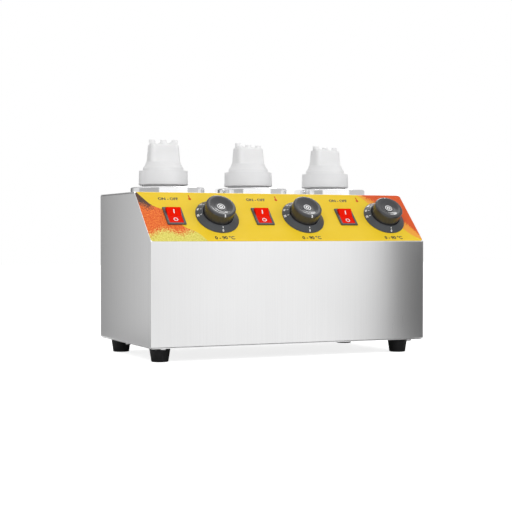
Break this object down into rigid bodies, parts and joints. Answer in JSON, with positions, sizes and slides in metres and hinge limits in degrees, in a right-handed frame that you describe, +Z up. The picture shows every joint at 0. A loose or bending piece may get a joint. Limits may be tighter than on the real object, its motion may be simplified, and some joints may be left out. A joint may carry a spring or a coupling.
{
  "type": "sauce bottle warmer",
  "caption": "Countertop topping warmer: steel casing with a sloped control strip, round heated wells and squeeze bottles standing in them.",
  "frame": {"origin": "on the worktop, under the middle of everything that the warmer spans, its rear cord gland included", "axes": "+Z up, +X to the right along the casing seen from its front, +Y from the front to the rear"},
  "size_m": [0.4, 0.232, 0.2951],
  "materials": {
    "casing_steel": "vertical brushed grain",
    "well_steel": "polished",
    "control_print": "printed overlay, satin",
    "screw_steel": "zinc plated",
    "foot_rubber": "matt",
    "heater_sheath": "dull",
    "bulb_copper": "drawn",
    "terminal_brass": "stamped",
    "thermostat_case": "moulded",
    "dial_black": "satin moulded",
    "knob_black": "satin moulded",
    "switch_black": "moulded",
    "rocker_red": "gloss",
    "bottle_white": "translucent blown",
    "nozzle_white": "translucent moulded",
    "ring_white": "moulded",
    "gland_plastic": "moulded",
    "terminal_plastic": "moulded",
    "wire_insulation": "extruded"
  },
  "bodies": {
    "casing": {"casing_wrapper": "casing_steel", "left_side_panel": "casing_steel", "right_side_panel": "casing_steel", "rear_panel": "casing_steel", "base_plate": "casing_steel", "well_cup_1": "well_steel", "well_cup_2": "well_steel", "well_cup_3": "well_steel", "control_decal": "control_print", "casing_screws": "screw_steel", "foot_bolts": "screw_steel", "thermostat_screws": "screw_steel", "heater_bolts": "screw_steel", "bulb_clips": "screw_steel", "earth_stud": "screw_steel", "terminal_block_screws": "screw_steel", "rubber_foot_front_left": "foot_rubber", "rubber_foot_front_right": "foot_rubber", "rubber_foot_rear_left": "foot_rubber", "rubber_foot_rear_right": "foot_rubber", "gland_seal": "foot_rubber", "band_heater_1": "heater_sheath", "band_heater_2": "heater_sheath", "band_heater_3": "heater_sheath", "sensing_bulb_1": "bulb_copper", "sensing_bulb_2": "bulb_copper", "sensing_bulb_3": "bulb_copper", "blade_terminals": "terminal_brass", "thermostat_1": "thermostat_case", "thermostat_2": "thermostat_case", "thermostat_3": "thermostat_case", "dial_ring_1": "dial_black", "dial_ring_2": "dial_black", "dial_ring_3": "dial_black", "switch_housing_1": "switch_black", "switch_housing_2": "switch_black", "switch_housing_3": "switch_black", "gland_body": "gland_plastic", "gland_locknut": "gland_plastic", "gland_cap": "gland_plastic", "terminal_block": "terminal_plastic", "wiring": "wire_insulation"},
    "knob_1": {"knob_grip_1": "knob_black", "thermostat_spindle_1": "screw_steel"},
    "rocker_1": {"rocker_1": "rocker_red"},
    "bottle_1": {"squeeze_bottle_1": "bottle_white"},
    "nozzle_1": {"nozzle_1": "nozzle_white"},
    "cap_ring_1": {"cap_ring_1": "ring_white"},
    "knob_2": {"knob_grip_2": "knob_black", "thermostat_spindle_2": "screw_steel"},
    "rocker_2": {"rocker_2": "rocker_red"},
    "bottle_2": {"squeeze_bottle_2": "bottle_white"},
    "nozzle_2": {"nozzle_2": "nozzle_white"},
    "cap_ring_2": {"cap_ring_2": "ring_white"},
    "knob_3": {"knob_grip_3": "knob_black", "thermostat_spindle_3": "screw_steel"},
    "rocker_3": {"rocker_3": "rocker_red"},
    "bottle_3": {"squeeze_bottle_3": "bottle_white"},
    "nozzle_3": {"nozzle_3": "nozzle_white"},
    "cap_ring_3": {"cap_ring_3": "ring_white"}
  },
  "joints": [
    {"name": "knob_1_turn", "type": "hinge", "parent": "casing", "child": "knob_1", "pos_m": [-0.0967, -0.09125, 0.19389], "axis": [0, 0.7071, -0.7071], "range_deg": [0, 240]},
    {"name": "rocker_1_press", "type": "hinge", "parent": "casing", "child": "rocker_1", "pos_m": [-0.1565, -0.08305, 0.1871], "axis": [-1, 0, 0], "range_deg": [0, 24]},
    {"name": "bottle_1_lift", "type": "slide", "parent": "casing", "child": "bottle_1", "axis": [0, 0, 1], "range_m": [0, 0.2]},
    {"name": "nozzle_1_rise", "type": "slide", "parent": "bottle_1", "child": "nozzle_1", "axis": [0, 0, 1], "range_m": [0, 0.00631]},
    {"name": "cap_ring_1_turn", "type": "hinge", "parent": "nozzle_1", "child": "cap_ring_1", "pos_m": [-0.1302, 0.029, 0.24], "axis": [0, 0, 1], "range_deg": [0, 540]},
    {"name": "knob_2_turn", "type": "hinge", "parent": "casing", "child": "knob_2", "pos_m": [0.0293, -0.09125, 0.19389], "axis": [0, 0.7071, -0.7071], "range_deg": [0, 240]},
    {"name": "rocker_2_press", "type": "hinge", "parent": "casing", "child": "rocker_2", "pos_m": [-0.0305, -0.08305, 0.1871], "axis": [-1, 0, 0], "range_deg": [0, 24]},
    {"name": "bottle_2_lift", "type": "slide", "parent": "casing", "child": "bottle_2", "axis": [0, 0, 1], "range_m": [0, 0.2]},
    {"name": "nozzle_2_rise", "type": "slide", "parent": "bottle_2", "child": "nozzle_2", "axis": [0, 0, 1], "range_m": [0, 0.00631]},
    {"name": "cap_ring_2_turn", "type": "hinge", "parent": "nozzle_2", "child": "cap_ring_2", "pos_m": [-0.002, 0.0284, 0.24], "axis": [0, 0, 1], "range_deg": [0, 540]},
    {"name": "knob_3_turn", "type": "hinge", "parent": "casing", "child": "knob_3", "pos_m": [0.1553, -0.09125, 0.19389], "axis": [0, 0.7071, -0.7071], "range_deg": [-180, 60]},
    {"name": "rocker_3_press", "type": "hinge", "parent": "casing", "child": "rocker_3", "pos_m": [0.0955, -0.08305, 0.1871], "axis": [-1, 0, 0], "range_deg": [0, 24]},
    {"name": "bottle_3_lift", "type": "slide", "parent": "casing", "child": "bottle_3", "axis": [0, 0, 1], "range_m": [0, 0.2]},
    {"name": "nozzle_3_rise", "type": "slide", "parent": "bottle_3", "child": "nozzle_3", "axis": [0, 0, 1], "range_m": [0, 0.00631]},
    {"name": "cap_ring_3_turn", "type": "hinge", "parent": "nozzle_3", "child": "cap_ring_3", "pos_m": [0.1215, 0.029, 0.24], "axis": [0, 0, 1], "range_deg": [0, 540]}
  ],
  "couplings": [
    {"joint": "nozzle_1_rise", "follows": "cap_ring_1_turn", "m_per_rad": 0.00066845},
    {"joint": "nozzle_2_rise", "follows": "cap_ring_2_turn", "m_per_rad": 0.00066845},
    {"joint": "nozzle_3_rise", "follows": "cap_ring_3_turn", "m_per_rad": 0.00066845}
  ]
}
